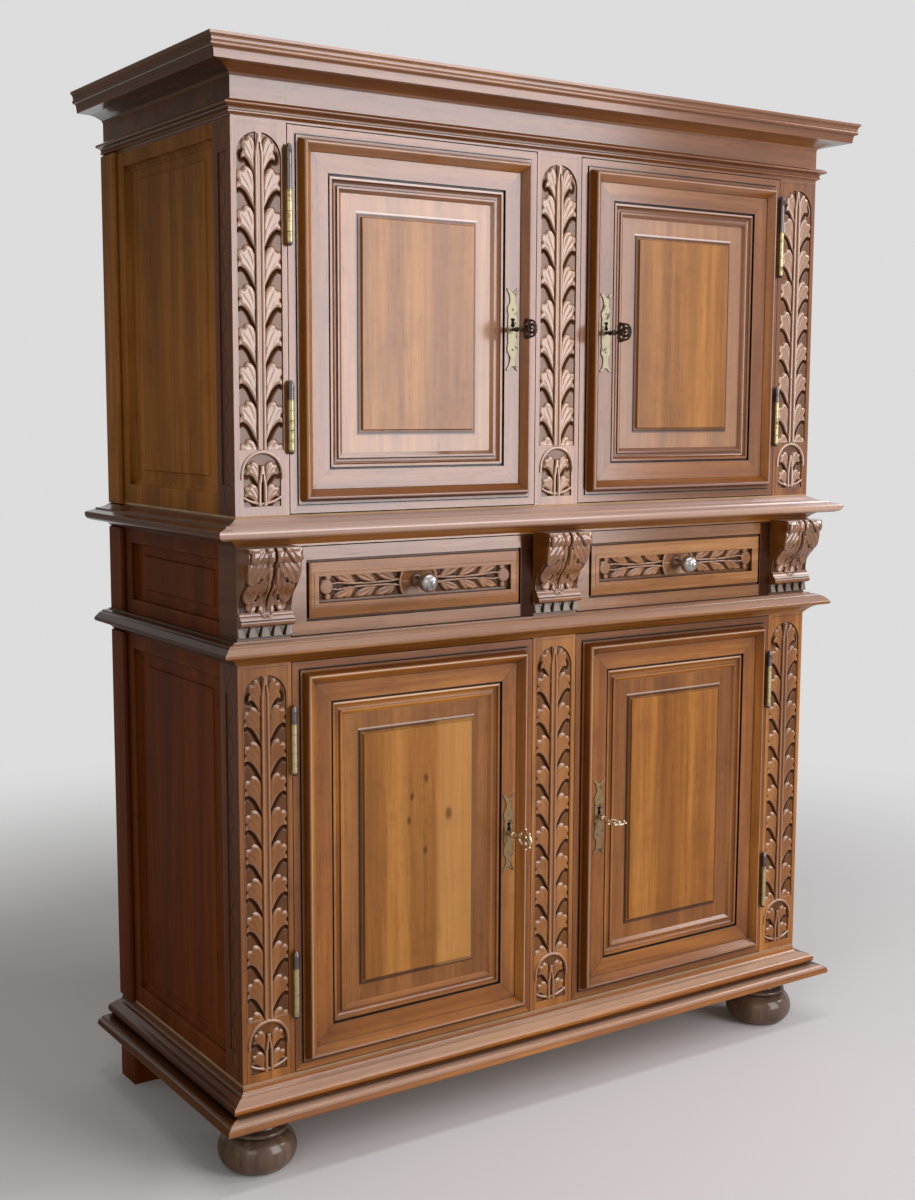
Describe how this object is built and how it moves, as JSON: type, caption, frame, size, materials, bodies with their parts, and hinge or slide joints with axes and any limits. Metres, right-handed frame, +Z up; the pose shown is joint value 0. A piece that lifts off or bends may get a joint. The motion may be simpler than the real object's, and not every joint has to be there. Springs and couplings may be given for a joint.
{
  "type": "two-stage buffet cupboard",
  "caption": "Carved walnut buffet in two stages: panelled doors below and above a belt of drawers with corbels, moulded cornice and base, bun feet in front.",
  "frame": {"origin": "on the floor, midway across and midway between the back boards and the tips of the keys", "axes": "+Z up, -Y out of the doors, +X to the right of someone who faces the doors"},
  "size_m": [1.22, 0.526, 1.608],
  "materials": {
    "walnut": "waxed, worn lighter on the edges",
    "panel_walnut": "waxed, lighter raised fields",
    "side_walnut": "waxed, dark reddish sides",
    "carved_walnut": "carved and waxed, dark in the hollows",
    "dark_walnut": "polished, nearly black",
    "inner_oak": "plain planed secondary wood",
    "brass": "aged, softly polished",
    "bronze": "dark patina, worn on the edges",
    "gunmetal": "smooth dark metal",
    "steel": "grey, slightly dull"
  },
  "bodies": {
    "carcase": {"cornice": "walnut", "astragal": "walnut", "waist_moulding": "walnut", "belt_moulding": "walnut", "base_moulding": "walnut", "top_board": "walnut", "floors": "inner_oak", "frieze_rail": "walnut", "base_frame": "walnut", "back_boards": "inner_oak", "side_frames": "side_walnut", "side_panels": "side_walnut", "side_mouldings": "side_walnut", "belt_frame": "walnut", "drawer_runners": "inner_oak", "shelves": "inner_oak", "hinge_leaves": "brass", "hinge_pins": "steel", "corbels": "carved_walnut", "bun_feet": "dark_walnut", "lower_left_pilaster": "carved_walnut", "lower_right_pilaster": "carved_walnut", "lower_centre_pilaster": "carved_walnut", "upper_left_pilaster": "carved_walnut", "upper_right_pilaster": "carved_walnut", "upper_centre_pilaster": "carved_walnut"},
    "lower_left_door": {"lower_left_door_frame": "walnut", "lower_left_door_panel": "panel_walnut", "lower_left_escutcheon": "bronze", "lower_left_lock_case": "steel", "lower_left_hinge_knuckles": "brass"},
    "lower_left_key": {"lower_left_key": "brass"},
    "lower_left_bolt": {"lower_left_lock_bolt": "steel"},
    "lower_right_door": {"lower_right_door_frame": "walnut", "lower_right_door_panel": "panel_walnut", "lower_right_escutcheon": "bronze", "lower_right_lock_case": "steel", "lower_right_hinge_knuckles": "brass"},
    "lower_right_key": {"lower_right_key": "brass"},
    "lower_right_bolt": {"lower_right_lock_bolt": "steel"},
    "upper_left_door": {"upper_left_door_frame": "walnut", "upper_left_door_panel": "panel_walnut", "upper_left_escutcheon": "brass", "upper_left_lock_case": "steel", "upper_left_hinge_knuckles": "brass"},
    "upper_left_key": {"upper_left_key": "bronze"},
    "upper_left_bolt": {"upper_left_lock_bolt": "steel"},
    "upper_right_door": {"upper_right_door_frame": "walnut", "upper_right_door_panel": "panel_walnut", "upper_right_escutcheon": "brass", "upper_right_lock_case": "steel", "upper_right_hinge_knuckles": "brass"},
    "upper_right_key": {"upper_right_key": "bronze"},
    "upper_right_bolt": {"upper_right_lock_bolt": "steel"},
    "left_drawer": {"left_drawer_front": "carved_walnut", "left_drawer_box": "inner_oak", "left_drawer_knob": "gunmetal"},
    "right_drawer": {"right_drawer_front": "carved_walnut", "right_drawer_box": "inner_oak", "right_drawer_knob": "gunmetal"}
  },
  "joints": [
    {"name": "lower_left_door_hinge", "type": "hinge", "parent": "carcase", "child": "lower_left_door", "pos_m": [-0.47275, -0.199, 0.45375], "axis": [0, 0, -1], "range_deg": [0, 100]},
    {"name": "lower_left_key_turn", "type": "hinge", "parent": "lower_left_door", "child": "lower_left_key", "pos_m": [-0.0915, -0.193, 0.45375], "axis": [0, 1, 0], "range_deg": [0, 180]},
    {"name": "lower_left_bolt_slide", "type": "slide", "parent": "lower_left_door", "child": "lower_left_bolt", "axis": [1, 0, 0], "range_m": [0, 0.01]},
    {"name": "lower_right_door_hinge", "type": "hinge", "parent": "carcase", "child": "lower_right_door", "pos_m": [0.47275, -0.199, 0.45375], "axis": [0, 0, 1], "range_deg": [0, 100]},
    {"name": "lower_right_key_turn", "type": "hinge", "parent": "lower_right_door", "child": "lower_right_key", "pos_m": [0.0915, -0.193, 0.45375], "axis": [0, 1, 0], "range_deg": [0, 180]},
    {"name": "lower_right_bolt_slide", "type": "slide", "parent": "lower_right_door", "child": "lower_right_bolt", "axis": [-1, 0, 0], "range_m": [0, 0.01]},
    {"name": "upper_left_door_hinge", "type": "hinge", "parent": "carcase", "child": "upper_left_door", "pos_m": [-0.47275, -0.199, 1.24125], "axis": [0, 0, -1], "range_deg": [0, 100]},
    {"name": "upper_left_key_turn", "type": "hinge", "parent": "upper_left_door", "child": "upper_left_key", "pos_m": [-0.0915, -0.193, 1.24125], "axis": [0, 1, 0], "range_deg": [0, 180]},
    {"name": "upper_left_bolt_slide", "type": "slide", "parent": "upper_left_door", "child": "upper_left_bolt", "axis": [1, 0, 0], "range_m": [0, 0.01]},
    {"name": "upper_right_door_hinge", "type": "hinge", "parent": "carcase", "child": "upper_right_door", "pos_m": [0.47275, -0.199, 1.24125], "axis": [0, 0, 1], "range_deg": [0, 100]},
    {"name": "upper_right_key_turn", "type": "hinge", "parent": "upper_right_door", "child": "upper_right_key", "pos_m": [0.0915, -0.193, 1.24125], "axis": [0, 1, 0], "range_deg": [0, 180]},
    {"name": "upper_right_bolt_slide", "type": "slide", "parent": "upper_right_door", "child": "upper_right_bolt", "axis": [-1, 0, 0], "range_m": [0, 0.01]},
    {"name": "left_drawer_slide", "type": "slide", "parent": "carcase", "child": "left_drawer", "axis": [0, -1, 0], "range_m": [0, 0.3]},
    {"name": "right_drawer_slide", "type": "slide", "parent": "carcase", "child": "right_drawer", "axis": [0, -1, 0], "range_m": [0, 0.3]}
  ],
  "couplings": [
    {"joint": "lower_left_bolt_slide", "follows": "lower_left_key_turn", "m_per_rad": 0.00318},
    {"joint": "lower_right_bolt_slide", "follows": "lower_right_key_turn", "m_per_rad": 0.00318},
    {"joint": "upper_left_bolt_slide", "follows": "upper_left_key_turn", "m_per_rad": 0.00318},
    {"joint": "upper_right_bolt_slide", "follows": "upper_right_key_turn", "m_per_rad": 0.00318}
  ]
}
